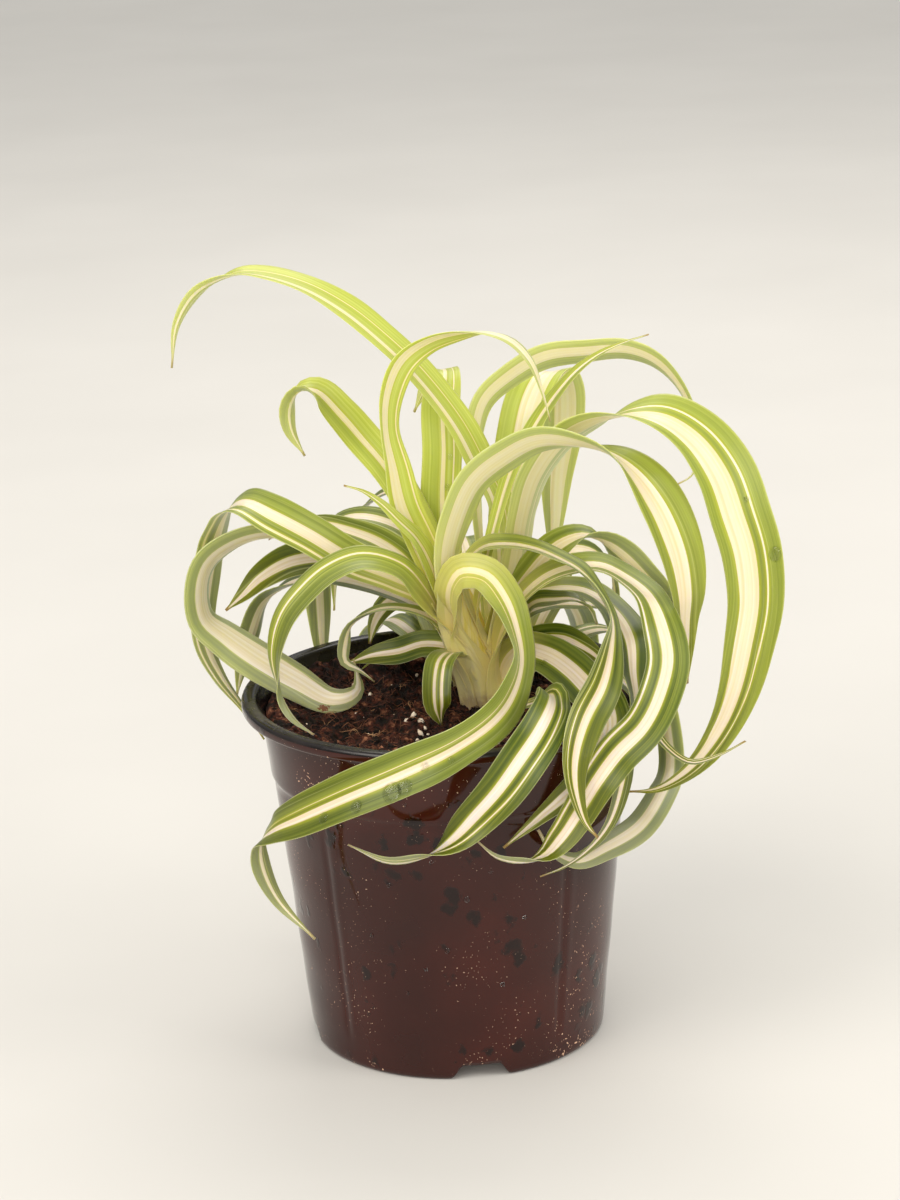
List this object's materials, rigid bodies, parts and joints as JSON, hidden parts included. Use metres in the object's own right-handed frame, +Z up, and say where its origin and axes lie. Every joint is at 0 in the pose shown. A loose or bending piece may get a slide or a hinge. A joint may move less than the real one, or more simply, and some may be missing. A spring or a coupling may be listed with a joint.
{
  "type": "potted spider plant",
  "caption": "Curly variegated spider plant with arching cream-striped leaves, growing in peat in a thin brown plastic nursery pot.",
  "frame": {"origin": "centre of the pot's flat underside", "axes": "+Z up, -Y toward the viewer of the front, +X to the viewer's right"},
  "size_m": [0.1718, 0.1608, 0.2291],
  "materials": {
    "pot_plastic": "glossy thin moulded brown plastic",
    "peat": "crumbly moist peat",
    "shoot": "pale waxy plant tissue",
    "leaf": "satin leaf, cream stripe between green margins"
  },
  "bodies": {
    "root": {"pot": "pot_plastic", "soil": "peat", "crown": "shoot", "leaf_top_long_left": "leaf", "leaf_top_left": "leaf", "leaf_top_upright": "leaf", "leaf_top_behind": "leaf", "leaf_top_right": "leaf", "leaf_top_thin": "leaf", "leaf_middle_hook": "leaf", "leaf_middle_spike": "leaf", "leaf_right_inner": "leaf", "leaf_right_long": "leaf", "leaf_right_3": "leaf", "leaf_right_4": "leaf", "leaf_right_5": "leaf", "leaf_right_6": "leaf", "leaf_right_7": "leaf", "leaf_right_8": "leaf", "leaf_right_9": "leaf", "leaf_right_10": "leaf", "leaf_right_11": "leaf", "leaf_right_12": "leaf", "leaf_right_13": "leaf", "leaf_right_14": "leaf", "leaf_front_long": "leaf", "leaf_front_curl": "leaf", "leaf_front_hook": "leaf", "leaf_front_right": "leaf", "leaf_front_left": "leaf", "leaf_front_low": "leaf", "leaf_left_1": "leaf", "leaf_left_2": "leaf", "leaf_left_3": "leaf", "leaf_left_4": "leaf", "leaf_left_5": "leaf", "leaf_left_6": "leaf", "leaf_left_7": "leaf", "leaf_left_8": "leaf", "leaf_back_1": "leaf", "leaf_back_2": "leaf", "leaf_back_3": "leaf", "leaf_back_4": "leaf", "leaf_back_5": "leaf", "leaf_back_6": "leaf", "leaf_back_7": "leaf"}
  },
  "joints": []
}
